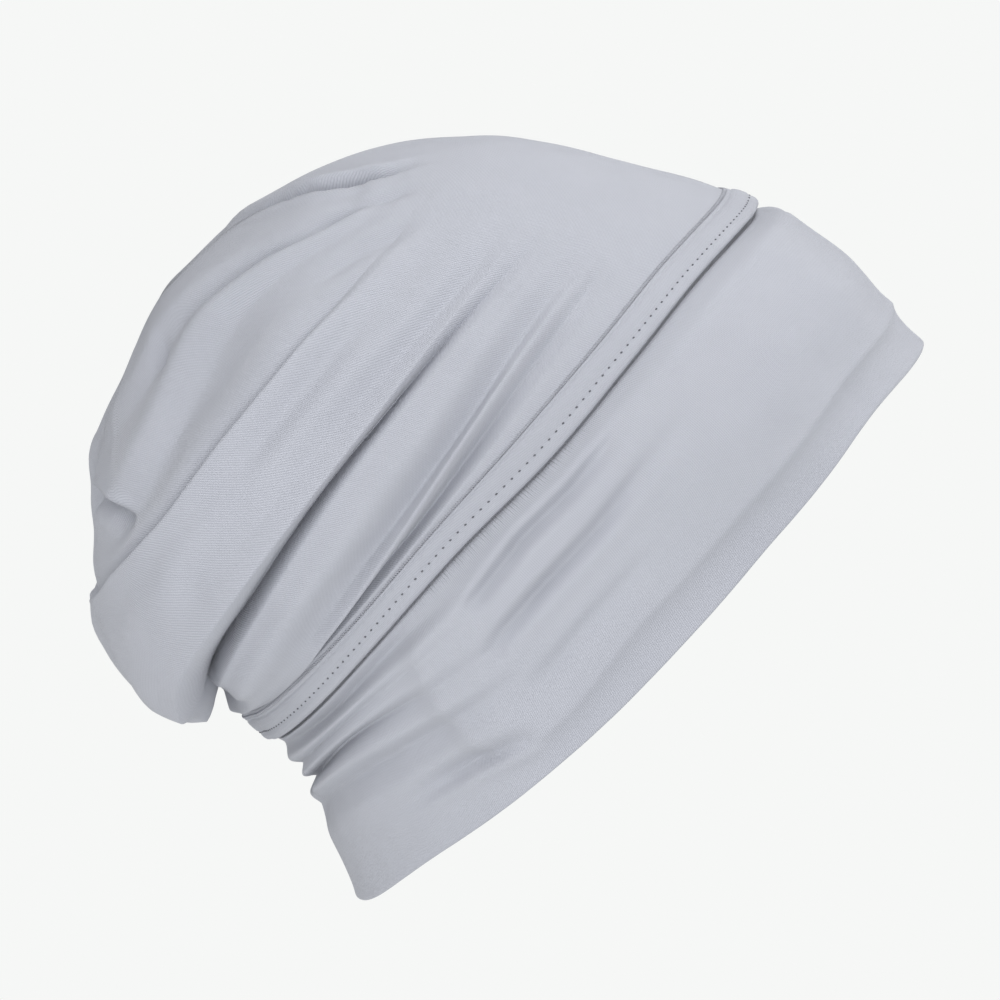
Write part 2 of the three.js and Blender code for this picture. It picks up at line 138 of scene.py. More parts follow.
PULLS = (
    Pull(0, 0.3, 18, 1.6), Pull(36, 0.2, 42, 0, 2.4), Pull(62, 0.2, 30, 0, 1),
    Pull(98, 0.1, 45, 0, -1), Pull(140, 0.2, 40, 0, 1.5), Pull(5, 2.9, 30, -1.3),
    Pull(0, 2.1, 36, -2.4), Pull(0, 4.05, 8, 1), Pull(172, 2.15, 12, -1.3),
    Pull(170, 2.5, 18, -1.6), Pull(178, 14, 22, -1.2), Pull(180, 2.6, 18, -1.3),
    Pull(178, 3.95, 16, 2.2), Pull(10, 6.2, 42, -1.4), Pull(15, 12, 26, -1.5),
    Pull(14, 13.9, 18, -2.8), Pull(158, 13.4, 26, -1.4), Pull(180, 12.25, 12, 1.8),
    Pull(169, 11.05, 15, -7), Pull(172, 10.1, 13, -3), Pull(180, 9.2, 14, -0.5),
    Pull(180, 8.6, 9, 1.3), Pull(168, 7.2, 24, -4.1), Pull(167, 6.2, 18, -2.8),
    Pull(180, 5.2, 16, -0.8, 2), Pull(180, 2.8, 14, -1.8), Pull(93, 11.3, 30, -2.5),
)

# Angles at which the tables below state their values, the level and the width of the hem
# tape there, and the rough height of one level in millimetres
STATIONS = (0, 40, 60, 80, 100, 120, 140, 160, 180)
SEAM_LEVEL = (4.12, 4.29, 4.21, 4.11, 4.08, 3.9, 3.76, 3.68, 3.65)
TAPE_WIDTH = (9, 9, 9.1, 9.5, 7.9, 7.6, 8.2, 8.4, 8.4)
PER_LEVEL = 14.0
NO_LAP = (0,) * len(STATIONS)


@dataclass(frozen=True)
class FoldLine:
    """A crest or a valley that runs round the cap.

    `steps` is the number of rows of cloth up to it from the line below. `sharp` is 1 for a
    crease and 0 for a soft line. `level` says where it lies at each station, `out` how far it
    stands out, and `lap` how far it hangs down over its lower neighbour.
    """

    name: str
    steps: int
    sharp: float
    level: tuple[float, ...]
    out: tuple[float, ...]
    lap: tuple[float, ...] = NO_LAP


CROWN_LINES = (
    FoldLine(
        "roll above the tape", 7, 0,
        (4.9, 5, 4.98, 4.84, 4.62, 4.36, 4.16, 4.08, 4.06),
        (0, 0.1, 0.3, 0.4, 0.4, 0.1, -0.3, -0.3, -0.3),
    ),
    FoldLine(
        "valley that runs into the tape", 12, 0.45,
        (5.5, 5.55, 5.46, 5.2, 4.86, 4.55, 4.26, 4.17, 4.15),
        (0, -0.2, -1.9, -3.2, -3.5, -3.5, -5.2, -3, -1.2),
    ),
    FoldLine(
        "thin ridge", 10, 0,
        (5.85, 5.8, 5.76, 5.56, 5.24, 4.92, 4.55, 4.4, 4.34),
        (0, 0.1, 0.8, 1.7, 2, 1.7, 0.8, 0.2, -0.6),
        (0, 0, 0.2, 0.5, 0.9, 1.8, 2.8, 1.6, 0.8),
    ),
    FoldLine(
        "shallow valley in front of the panel", 9, 0.1,
        (6.1, 6.02, 5.98, 5.7, 5.43, 5.16, 4.88, 4.64, 4.52),
        (0, 0, -1.6, -2.6, -2, -0.4, 1.4, 1, -0.4),
        (0, 0, 0.2, 0.6, 0.9, 1.2, 1.4, 1, 0.8),
    ),
    FoldLine(
        "smooth panel", 10, 0,
        (6.6, 6.4, 6.45, 6.3, 6.1, 5.86, 5.45, 4.85, 4.65),
        (0, 0.3, 1.1, 2, 2.6, 3.2, 3.4, -4, -6),
    ),
    FoldLine(
        "shoulder of the panel", 8, 0,
        (6.85, 6.6, 6.68, 6.76, 6.64, 6.34, 5.92, 5.2, 4.82),
        (0, 0.1, 0.4, 0.9, 1.2, 0.8, -0.6, -7, -7),
    ),
    FoldLine(
        "deep valley under the big fold", 16, 0.8,
        (7.1, 6.85, 6.97, 7.07, 7.02, 6.7, 6.33, 5.65, 5.1),
        (0, -0.2, -2, -4.2, -6.2, -8.8, -12.5, -12, -7),
    ),
    FoldLine(
        "free edge of the big fold", 20, 0.35,
        (7.35, 7.15, 7.22, 7.42, 7.42, 7.3, 7.1, 6.3, 5.65),
        (0, 0.2, 0.9, 2.2, 3.4, 4.2, 4.6, 3.6, 1.8),
        (0, 0, 1.2, 4, 5, 5.4, 6.2, 5.2, 5.4),
    ),
    FoldLine(
        "soft valley behind the free edge", 7, 0.3,
        (7.6, 7.4, 7.44, 7.66, 7.7, 7.62, 7.45, 6.8, 6.3),
        (0, -0.1, -1.4, -0.2, 1.6, 3, 3.9, 4.4, 3),
        (0, 0, 0.2, 1.2, 2, 2.8, 3.6, 4, 3.8),
    ),
    FoldLine(
        "middle of the big fold", 9, 0,
        (8.1, 7.85, 7.82, 8.05, 8.1, 8.05, 8, 7.6, 7.2),
        (0, 0.3, 1.2, 2.2, 3, 3.5, 3.6, 3, 2.2),
        (0, 0, 0, 0.3, 0.6, 0.8, 1.2, 1.2, 1),
    ),
    FoldLine(
        "broad back of the big fold", 10, 0,
        (8.6, 8.35, 8.4, 8.65, 8.65, 8.62, 8.65, 8.65, 8.65),
        (0, 0.2, 0.3, 0.9, 1.5, 2.1, 2.5, 2.5, 2.4),
    ),
    FoldLine(
        "upper edge of the big fold", 8, 0.2,
        (9, 8.7, 8.84, 9.04, 9.07, 8.99, 9.05, 9, 8.97),
        (0, 0.3, 1.4, 2.8, 3.3, 3.4, 3.3, 3, 2.7),
        (0, 0, -0.3, -0.9, -1.2, -1.2, -1, -0.6, -0.4),
    ),
    FoldLine(
        "crisp crease over the big fold", 10, 0.8,
        (9.3, 9, 9.1, 9.26, 9.31, 9.2, 9.27, 9.22, 9.2),
        (0, -0.1, -0.6, -0.6, -0.6, -0.4, -0.4, -0.4, -0.3),
    ),
    FoldLine(
        "start of the flat field", 6, 0,
        (9.55, 9.3, 9.35, 9.5, 9.56, 9.44, 9.5, 9.5, 9.45),
        (0, 0, -0.4, -0.5, -0.5, -0.2, 0, 0.2, 0.3),
    ),
    FoldLine(
        "lower soft valley of the top", 20, 0.05,
        (10.2, 9.65, 10.6, 11.3, 11.12, 10.35, 9.95, 10.2, 10.4),
        (0, -0.4, -2, -4.4, -4.8, -3.6, -1.9, -1, -0.8),
    ),
    FoldLine(
        "low ridge of the top", 12, 0,
        (10.6, 9.95, 11.15, 12.0, 11.9, 11.2, 10.75, 10.95, 11.1),
        (0, 0.3, 0.8, 0.5, 0.5, 0.8, 1, 1.1, 1),
    ),
    FoldLine(
        "upper soft valley of the top", 15, 0.3,
        (11.2, 10.25, 11.7, 12.5, 12.5, 12.1, 12, 12.3, 12.4),
        (0, -0.9, -2.4, -2.5, -2.1, -1.6, -1.2, -1, -0.8),
    ),
    FoldLine(
        "upper ridge of the top", 10, 0,
        (12, 11, 12.4, 13.05, 13.15, 12.8, 12.7, 12.9, 12.95),
        (0, 0.3, 0.6, 0.5, 0.5, 0.6, 0.6, 0.5, 0.4),
    ),
    FoldLine(
        "round of the tip", 8, 0,
        (13.4, 13.2, 13.4, 13.6, 13.6, 13.5, 13.4, 13.5, 13.5),
        (0.3, 0.3, 0.3, 0.3, 0.3, 0.3, 0.3, 0.3, 0.3),
    ),
)

BAND_LINES = (
    FoldLine(
        "roll above the brim", 15, 0,
        (0.9, 0.9, 0.9, 0.9, 1, 1.25, 1.5, 1.4, 1.15),
        (0, 0, 0, 0, 0, 0.3, 0.8, 0.8, 0.5),
    ),
    FoldLine(
        "valley below the notch", 9, 0.4,
        (1.6, 1.6, 1.6, 1.6, 1.68, 1.86, 2.04, 2.02, 1.78),
        (0, 0, 0, 0, 0, -2.4, -3, -2.2, -0.8),
    ),
    FoldLine(
        "roll below the notch", 7, 0,
        (1.9, 1.9, 1.9, 1.9, 1.98, 2.14, 2.36, 2.28, 2),
        (0, 0, 0, 0, 0, 0.5, 1.3, 1.2, 1),
    ),
    FoldLine(
        "notch valley", 8, 0.6,
        (2.2, 2.2, 2.2, 2.2, 2.3, 2.5, 2.68, 2.5, 2.24),
        (0, 0, 0, 0, 0, -1.6, -3.8, -4.4, -3.4),
    ),
    FoldLine(
        "roll above the notch", 8, 0,
        (2.5, 2.5, 2.5, 2.5, 2.55, 2.74, 2.84, 2.68, 2.42),
        (0, 0, 0, 0, 0, 0.4, 1, 1.2, 1),
        (0, 0, 0, 0, 0, 0, 0.5, 0.8, 0.4),
    ),
    FoldLine(
        "thin crease", 7, 0.7,
        (2.95, 2.95, 2.95, 2.95, 2.92, 2.98, 2.98, 2.8, 2.6),
        (0, 0, 0, 0, 0, -0.5, -0.9, -1, -1),
    ),
    FoldLine(
        "fourth roll", 6, 0,
        (3.2, 3.2, 3.2, 3.15, 3.12, 3.14, 3.08, 2.98, 2.82),
        (0, 0, 0, 0, 0, 0.4, 0.9, 1, 1),
    ),
    FoldLine(
        "valley below the tape", 8, 0.2,
        (3.45, 3.47, 3.46, 3.38, 3.37, 3.36, 3.24, 3.2, 3.12),
        (0, -0.1, -0.2, -0.2, -0.4, -2.8, -3.6, -2.2, -1.2),
    ),
)


@dataclass(frozen=True)
class Crease:
    """A short fold that runs free of the fold lines.

    `path` holds rows of angle, level and depth. `widths` are the widths of the groove's left
    and right flanks in millimetres, seen from outside along the path, and `rolls` the shares
    of the depth by which the cloth beside them is raised. `fade` holds the shares of the path
    over which it starts and ends, and `walled` gives the left flank a steep wall.
    """

    name: str
    path: tuple[tuple[float, float, float], ...]
    widths: tuple[float, float]
    rolls: tuple[float, float] = (0.0, 0.0)
    fade: tuple[float, float] = (0.3, 0.3)
    walled: bool = False


CROWN_CREASES = (
    Crease(
        "crease beside the middle of the top",
        (
            (14, 13.3, 1), (24, 12.5, 4.4), (28, 11.7, 10), (30, 11.1, 12.5), (29, 10.6, 9.5),
            (26, 10, 4), (20, 9.4, 1.5), (12, 8.8, 0.6),
        ),
        (3.2, 1.9), (0.2, 0.16), (0.15, 0.4), walled=True,
    ),
    Crease(
        "tuck at the back of the top",
        (
            (170, 11.25, 1.5), (158, 11.2, 3), (150, 11.05, 4.4), (143, 10.7, 5),
            (137, 10.25, 4.6), (132, 9.8, 2.6),
        ),
        (1.3, 4), (0.25, 0), (0.1, 0.25),
    ),
    Crease(
        "front end of the upper soft valley",
        ((30, 9, 0.5), (34, 9.4, 1.3), (38, 9.93, 1.7), (44, 10.5, 1.3), (51, 11.2, 0.4)),
        (2.4, 2.4), (0.15, 0.15),
    ),
    Crease(
        "soft valley between the top and the big fold",
        ((43, 8.5, 0.5), (48, 9.05, 1.4), (53, 9.45, 1.8), (60, 9.75, 1.4), (67, 10, 0.4)),
        (3.2, 3.2), (0.1, 0.15),
    ),
    Crease(
        "dimple near the tip",
        ((96, 13, 1.2), (101, 12.6, 1.4), (105, 12.2, 1)),
        (2.2, 2.2), (0.2, 0.2),
    ),
    Crease(
        "soft streak on the panel",
        ((93, 5.6, 0.3), (105, 5.55, 0.6), (115, 5.5, 0.8), (123, 5.35, 0.4)),
        (2.4, 2.4), (0.3, 0.3),
    ),
    Crease(
        "soft streak on the big fold",
        ((92, 8.1, 0.5), (106, 8.1, 1.3), (121, 7.95, 1.9), (133, 7.7, 1)),
        (3.6, 3.6), (0.3, 0.3),
    ),
    Crease(
        "upper soft streak on the big fold",
        ((62, 8.4, 0.5), (74, 8.55, 1), (86, 8.58, 1.2), (98, 8.55, 1.1), (108, 8.45, 0.5)),
        (2.8, 2.8), (0.3, 0.3),
    ),
)

BAND_CREASES = (
    Crease(
        "soft valley below the tape",
        ((58, 3.34, 1), (72, 3.28, 2), (82, 3.2, 3), (92, 3.22, 3.6), (102, 3.1, 2.6), (107, 3.05, 1)),
        (2.2, 1.8), (0.2, 0.25), (0.35, 0.15),
    ),
    Crease(
        "second soft valley below the tape",
        ((56, 2.78, 0.8), (72, 2.66, 1.6), (84, 2.52, 2.6), (96, 2.48, 3), (104, 2.42, 2), (111, 2.12, 1)),
        (2.3, 1.8), (0.15, 0.25), (0.35, 0.2),
    ),
    Crease(
        "third soft valley below the tape",
        ((76, 1.6, 0.5), (84, 1.6, 1), (94, 1.56, 1.6), (102, 1.45, 1.6), (110, 1.28, 0.7)),
        (3, 2.2), (0.15, 0.2), (0.35, 0.3),
    ),
    Crease(
        "fold between the inner layer and the brim",
        ((107, 0.68, 1.2), (113, 0.88, 3.2), (120, 1.05, 3.4), (130, 1.12, 2.4), (143, 1.14, 0.8)),
        (1.8, 3.2), (0.25, 0.15), (0.1, 0.4),
    ),
)


def smooth(u: Array) -> Array:
    """Ease a value from 0 to 1."""
    t = np.clip(u, 0.0, 1.0)
    return t * t * (3.0 - 2.0 * t)


def unit(vectors: Array) -> Array:
    """Scale vectors to length one."""
    return vectors / np.maximum(np.linalg.norm(vectors, axis=-1, keepdims=True), 1e-12)


def fold_angle(angle: Array) -> Array:
    """Return the angle's mirror image on the right side, from 0 to 180 degrees."""
    turn = np.mod(angle, 360.0)
    return np.where(turn > 180.0, 360.0 - turn, turn)


def station_value(values: tuple[float, ...], angle: Array) -> Array:
    """Read a table at any angle, level at the brow and at the nape.

    Args:
        values: one value for each of STATIONS.
        angle: angles in degrees.

    Returns:
        The values, on a smooth curve through those of the table.
    """
    at = np.asarray(STATIONS, float)
    v = np.asarray(values, float)
    slope = np.zeros_like(v)
    slope[1:-1] = (v[2:] - v[:-2]) / (at[2:] - at[:-2])
    a = fold_angle(np.asarray(angle, float))
    i = np.clip(np.searchsorted(at, a, side="right") - 1, 0, len(at) - 2)
    step = at[i + 1] - at[i]
    t = (a - at[i]) / step
    ends = v[i] * (1 + 2 * t) * (1 - t) ** 2 + v[i + 1] * t**2 * (3 - 2 * t)
    return ends + (slope[i] * t * (1 - t) ** 2 - slope[i + 1] * t**2 * (1 - t)) * step


class HeadForm:
    """The smooth form that the cap's cloth follows, in the head's own frame."""

    tilt: float = math.radians(44.5)
    ear_taper: float = 0.08
    middle_fade: float = 15.0
    top_level: float = float(len(SECTIONS) - 1)
    left_shift: float = 0.14
    left_relief: float = 0.88
    half_turn: float = 0.5
    half_rise: float = 0.05

    def __init__(self) -> None:
        """Lay the sections out as one table and place the pulls on the form without them."""
        self._rows = np.array([(*s.brow, *s.nape, s.half, s.dip) for s in SECTIONS], float)
        self._pulls: list[tuple[Array, float, Array]] = []
        self._pulls = [self._placed(pull) for pull in PULLS]

    def _placed(self, pull: Pull) -> tuple[Array, float, Array]:
        """Return a pull's place, its reach and its move."""
        spot = np.array([float(pull.angle)]), np.array([float(pull.level)])
        out, up, _ = self.directions(*spot)
        return self.point(*spot)[0], pull.reach, out[0] * pull.out + up[0] * pull.up

    def _section(self, level: Array) -> Array:
        """Read the sections on a smooth curve through them.

        Args:
            level: levels, from 0 at the brim.

        Returns:
            One row of the table for each level.
        """
        a = self._rows
        last = len(a) - 1
        at = np.clip(level, 0.0, last)
        i = np.minimum(at.astype(int), last - 1)
        t = (at - i)[..., None]
        p1, p2 = a[i], a[i + 1]
        p0 = np.where((i > 0)[..., None], a[np.maximum(i - 1, 0)], 2 * p1 - p2)
        p3 = np.where((i < last - 1)[..., None], a[np.minimum(i + 2, last)], 2 * p2 - p1)
        bend = (2 * p0 - 5 * p1 + 4 * p2 - p3) * t**2
        twist = (3 * p1 - p0 - 3 * p2 + p3) * t**3
        return 0.5 * (2 * p1 + (p2 - p0) * t + bend + twist)

    def point(self, angle: Array, level: Array) -> Array:
        """Return points of the form.

        Args:
            angle: angles in degrees.
            level: levels, from 0 at the brim.

        Returns:
            The points along the brim plane, aside and above it, in millimetres.
        """
        s = self._section(level)
        c, sn = np.cos(np.radians(angle)), np.sin(np.radians(angle))
        along = (s[..., 0] + s[..., 2]) / 2 + (s[..., 0] - s[..., 2]) / 2 * c
        above = (s[..., 1] + s[..., 3]) / 2 + (s[..., 1] - s[..., 3]) / 2 * c
        aside = -s[..., 4] * sn * (1 - self.ear_taper * c)
        right = np.stack([along, -np.abs(aside), above - s[..., 5] * sn**2], -1)
        share = np.ones_like(right)
        share[..., 1] = smooth(np.abs(aside) / self.middle_fade)
        moved = right.copy()
        for place, reach, move in self._pulls:
            weight = smooth(1 - np.linalg.norm(right - place, axis=-1) / reach)
            moved += weight[..., None] * move * share
        moved[..., 1] *= np.where(aside > 0, -1.0, 1.0)
        return moved

    def directions(self, angle: Array, level: Array) -> tuple[Array, Array, Array]:
        """Return the form's directions.

        Args:
            angle: angles in degrees.
            level: levels, from 0 at the brim.

        Returns:
            The outward and the upward directions, and the length of one level.
        """
        near = np.minimum(level, self.top_level - 2 * self.half_rise)
        turn, high = self.half_turn, near + self.half_rise
        round_ = self.point(angle + turn, near) - self.point(angle - turn, near)
        low = np.maximum(near - self.half_rise, 0.0)
        rise = self.point(angle, high) - self.point(angle, low)
        per_level = np.linalg.norm(rise, axis=-1) / (high - low)
        out = unit(np.cross(rise, round_))
        up = unit(np.cross(round_, out))
        return out, up, per_level

    def beside_seam(self, angle: Array, distance: float | Array) -> Array:
        """Return the level at a distance above the middle of the hem tape."""
        seam = station_value(SEAM_LEVEL, angle)
        return seam + distance / self.directions(angle, seam)[2]

    def to_world(self, points: Array) -> Array:
        """Turn points from the head's frame into the row's frame, in metres."""
        c, s = math.cos(self.tilt), math.sin(self.tilt)
        x = points[..., 0] * c - points[..., 2] * s
        z = points[..., 0] * s + points[..., 2] * c
        return np.stack([x, points[..., 1], z], -1) * MM


FORM = HeadForm()


@dataclass(frozen=True)
class Track:
    """One line of the cloth worked out at every column."""

    level: Array
    out: Array
    lap: Array
    sharp: float
    steps: int

    @classmethod
    def of_fold(cls, line: FoldLine, angle: Array, left_shift: float) -> "Track":
        """Work a fold line out.

        Args:
            line: the line's table.
            angle: the columns' angles in degrees.
            left_shift: how many levels the line moves up at the left ear.

        Returns:
            The line's track.
        """
        wave = np.where(np.mod(angle, 360.0) > 180.0, np.sin(np.radians(angle)) ** 2, 0.0)
        scale = 1 - (1 - FORM.left_relief) * wave
        level = station_value(line.level, angle) + left_shift * wave
        out = station_value(line.out, angle) * scale
        lap = station_value(line.lap, angle) * scale
        return cls(level, out, lap, line.sharp, line.steps)

    @classmethod
    def even(cls, level: Array, out: float, steps: int = 1) -> "Track":
        """Return a line that stands out by the same amount all the way."""
        zero = np.zeros_like(level)
        return cls(level, zero + out, zero, 0.0, steps)


class Edge(Enum):
    """The hem tape's edges, with the sign of the way out over each."""

    UPPER = 1
    LOWER = -1


@dataclass(frozen=True)
class TapeLine:
    """A line along the hem tape, `beyond` one of its edges and `out` from the form."""

    edge: Edge
    beyond: float
    out: float
    steps: int = 1

    def across(self, angle: Array) -> Array:
        """Return how far above the tape's middle the line runs, in millimetres."""
        return self.edge.value * (station_value(TAPE_WIDTH, angle) / 2 + self.beyond)

    def track(self, angle: Array) -> Track:
        """Work the line out at every column."""
        return Track.even(FORM.beside_seam(angle, self.across(angle)), self.out, self.steps)


@dataclass(frozen=True)
class Waves:
    """Slow waves in the cloth: their rough height and length, and the seed of their ways."""

    height: float
    length: float
    seed: int


class Surface:
    """A grid of cloth laid over the form: rows from the lowest line up, columns round it.

    A crease is laid with `path_detail` points for each row of its path, reaches as far as
    `crease_reach` times its wider flank, and has its rolls `roll_at` flanks away.
    """

    path_detail: int = 12
    crease_reach: float = 4.5
    roll_at: float = 1.9
    wall_power: int = 5
    wave_count: int = 7
    wave_lengths: tuple[float, float] = (0.7, 1.5)
    wave_sum: float = 2.6

    def __init__(self, angle: Array, tracks: list[Track]) -> None:
        """Fill the rows between the tracks.

        Args:
            angle: the columns' angles in degrees.
            tracks: the lines from the lowest to the highest.
        """
        levels, outs, laps = [], [], []
        for k in range(1, len(tracks)):
            low, high = tracks[k - 1], tracks[k]
            first = 0 if k == 1 else 1
            for step in range(first, high.steps + 1):
                u = step / high.steps
                ease = self._flank(low.sharp, high.sharp, u)
                levels.append(low.level + (high.level - low.level) * u)
                outs.append(low.out + (high.out - low.out) * ease)
                laps.append(low.lap + (high.lap - low.lap) * ease)
        self.level = np.array(levels)
        self.angle = np.broadcast_to(angle, self.level.shape)
        self.base = FORM.point(self.angle, self.level)
        self.out_way, self.up_way, _ = FORM.directions(self.angle, self.level)
        self.out = np.array(outs)
        self.lap = np.array(laps)

    @staticmethod
    def _flank(sharp_low: float, sharp_high: float, u: float) -> float:
        """Ease from one line to the next: round at a crest, cut in at a crease.

        Args:
            sharp_low: how sharp the lower line is.
            sharp_high: how sharp the upper line is.
            u: the share of the way up.

        Returns:
            The share of the upper line's relief.
        """
        round_ = (1 - math.cos(math.pi * u)) / 2
        leave = math.sin(math.pi * u / 2) - round_
        arrive = 1 - math.sin(math.pi * (1 - u) / 2) - round_
        return round_ + sharp_low * leave + sharp_high * arrive

    def press(self, crease: Crease) -> None:
        """Cut a crease and raise its rolls.

        Args:
            crease: the crease to cut.
        """
        path = np.array(crease.path, float)
        at = np.linspace(0, len(path) - 1, self.path_detail * len(path))
        knots = np.arange(len(path))
        angle, level, depth = (np.interp(at, knots, path[:, c]) for c in range(3))
        line = FORM.point(angle, level)
        along = unit(np.gradient(line, axis=0))
        share = at / at[-1]
        start, end = crease.fade
        weight = depth * smooth(share / start) * smooth((1 - share) / end)
        reach = self.crease_reach * max(crease.widths)
        flat = self.base.reshape(-1, 3)
        low, high = line.min(0) - reach, line.max(0) + reach
        near = np.nonzero(((flat > low) & (flat < high)).all(1))[0]
        offset = flat[near, None, :] - line[None, :, :]
        distance = np.linalg.norm(offset, axis=-1)
        best = distance.argmin(1)
        rows = np.arange(len(near))
        ways = self.out_way.reshape(-1, 3)[near]
        left = (np.cross(along[best], offset[rows, best]) * ways).sum(-1) > 0
        d = distance[rows, best] / np.where(left, *crease.widths)
        roll = np.where(left, *crease.rolls) * np.exp(-((d - self.roll_at) ** 2))
        groove = np.exp(-(d ** np.where(left & crease.walled, self.wall_power, 2)))
        self.out.reshape(-1)[near] += weight[best] * (roll - groove)

    def wander(self, waves: Waves, where: Array) -> None:
        """Add slow waves, so that no stretch of cloth is perfectly even.

        Args:
            waves: the waves to add.
            where: the share of them that each point takes.
        """
        rng = np.random.default_rng(waves.seed)
        relief = np.zeros_like(self.out)
        for _ in range(self.wave_count):
            way = unit(rng.normal(size=3)) * 2 * math.pi
            way = way / (waves.length * rng.uniform(*self.wave_lengths))
            relief += np.sin(self.base @ way + rng.uniform(0, 2 * math.pi))
        self.out = self.out + relief * where * waves.height / self.wave_sum

    def points(self) -> Array:
        """Return the cloth's points in the head's frame, in millimetres."""
        return self.base + self.out_way * self.out[..., None] - self.up_way * self.lap[..., None]


def arc_up(points: Array) -> Array:
    """Return each point's distance up its column, in millimetres."""
    steps = np.linalg.norm(np.diff(points, axis=0), axis=-1)
    return np.concatenate([np.zeros((1, points.shape[1])), np.cumsum(steps, 0)])


# Shader building


@dataclass(frozen=True)
class Signal:
    """A shader socket that can be used in Python expressions."""

    tree: "Finish"
    socket: bpy.types.NodeSocket

    def __add__(self, other: "Signal | float") -> "Signal":
        """Add."""
        return self.tree.math("ADD", self, other)

    def __sub__(self, other: "Signal | float") -> "Signal":
        """Subtract."""
        return self.tree.math("SUBTRACT", self, other)

    def __rsub__(self, other: float) -> "Signal":
        """Subtract from a number."""
        return self.tree.math("SUBTRACT", other, self)

    def __mul__(self, other: "Signal | float") -> "Signal":
        """Multiply."""
        return self.tree.math("MULTIPLY", self, other)

    def __truediv__(self, other: "Signal | float") -> "Signal":
        """Divide."""
        return self.tree.math("DIVIDE", self, other)

    __radd__ = __add__
    __rmul__ = __mul__

    def fract(self) -> "Signal":
        """Keep the part after the decimal point."""
        return self.tree.math("FRACT", self)

    def abs(self) -> "Signal":
        """Drop the sign."""
        return self.tree.math("ABSOLUTE", self)

    def arch(self) -> "Signal":
        """Return a row of arches, one for each whole number, from 0 up to 1 and down again."""
        return self.tree.math("SINE", self.fract() * math.pi)

    def ramp(self, low: float, high: float) -> "Signal":
        """Rise smoothly from 0 at `low` to 1 at `high`."""
        settings = {"interpolation_type": "SMOOTHSTEP"}
        inputs = {"Value": self, "From Min": low, "From Max": high}
        return self.tree.signal("ShaderNodeMapRange", "Result", settings, inputs)


class MixSocket(IntEnum):
    """The numbers of a Mix node's sockets when it mixes colours."""

    FACTOR = 0
    LOW = 6
    HIGH = 7
    RESULT = 2


class Finish:
    """A material built from nodes."""

    def __init__(self, name: str) -> None:
        """Start an empty material."""
        self.material = bpy.data.materials.new(name)
        self.material.use_nodes = True
        self._nodes = self.material.node_tree.nodes
        self._links = self.material.node_tree.links
        self._nodes.clear()

    def node(
        self, kind: str, settings: Values | None = None, inputs: Values | None = None
    ) -> bpy.types.Node:
        """Add one node.

        Args:
            kind: the node's type.
            settings: its properties, set first.
            inputs: values or signals for its input sockets, by name or number.

        Returns:
            The new node.
        """
        new = self._nodes.new(kind)
        for key, value in (settings or {}).items():
            setattr(new, key, value)
        for key, value in (inputs or {}).items():
            if isinstance(value, Signal):
                self._links.new(value.socket, new.inputs[key])
            else:
                new.inputs[key].default_value = value
        return new

    def signal(
        self,
        kind: str,
        output: str | int,
        settings: Values | None = None,
        inputs: Values | None = None,
    ) -> Signal:
        """Add one node and return its named or numbered output as a signal."""
        return Signal(self, self.node(kind, settings, inputs).outputs[output])

    def math(self, operation: str, *values: Signal | float) -> Signal:
        """Add a Math node on one or two values."""
        return self.signal("ShaderNodeMath", 0, {"operation": operation}, dict(enumerate(values)))

    def uv(self) -> tuple[Signal, Signal]:
        """Return the two coordinates of the piece's knit map."""
        where = self.signal("ShaderNodeUVMap", "UV", {"uv_map": UV_NAME})
        split = self.node("ShaderNodeSeparateXYZ", inputs={"Vector": where})
        return Signal(self, split.outputs["X"]), Signal(self, split.outputs["Y"])

    def noise(self, scale: float, detail: float) -> Signal:
        """Return noise on the object's own coordinates, about 0.5."""
        where = self.signal("ShaderNodeTexCoord", "Object")
        inputs = {"Vector": where, "Scale": scale, "Detail": detail}
        return self.signal("ShaderNodeTexNoise", 0, inputs=inputs)

    def blend(self, share: Signal, low: Colour, high: Colour) -> Signal:
        """Mix two colours by a share from 0 to 1."""
        inputs = {MixSocket.FACTOR: share, MixSocket.LOW: (*low, 1), MixSocket.HIGH: (*high, 1)}
        return self.signal("ShaderNodeMix", MixSocket.RESULT, {"data_type": "RGBA"}, inputs)

    def bump(self, height: Signal, depth: float, strength: float = 1.0) -> Signal:
        """Return the normals of a relief whose depth is in millimetres."""
        inputs = {"Strength": strength, "Distance": depth * MM, "Height": height}
        return self.signal("ShaderNodeBump", "Normal", inputs=inputs)

    def close(self, kind: str, inputs: Values) -> bpy.types.Material:
        """Join a shader of one kind to the output, and return the finished material."""
        self.node("ShaderNodeOutputMaterial", inputs={"Surface": self.signal(kind, 0, inputs=inputs)})
        return self.material


@dataclass(frozen=True)
class Gathers:
    """Fine upright gathers just below the tape, on both sides of the nape.

    `nape` says where the nape lies round the band. The gathers rise between the distances
    `start` from it, fade out between those of `end`, and run down from the tape over `below`.
    All are in millimetres of cloth.
    """

    nape: float = 270.0
    start: tuple[float, float] = (98.0, 112.0)
    end: tuple[float, float] = (150.0, 166.0)
    below: tuple[float, float] = (-3.6, -0.6)
    pitch: float = 0.82
    height: float = 1.7

    def relief(self, u: Signal, v: Signal) -> Signal:
        """Return the gathers' relief, in heights of a loop of the knit."""
        back = (u - self.nape).abs()
        where = back.ramp(*self.start) * (1.0 - back.ramp(*self.end))
        return (u / self.pitch).arch() * where * v.ramp(*self.below) * self.height


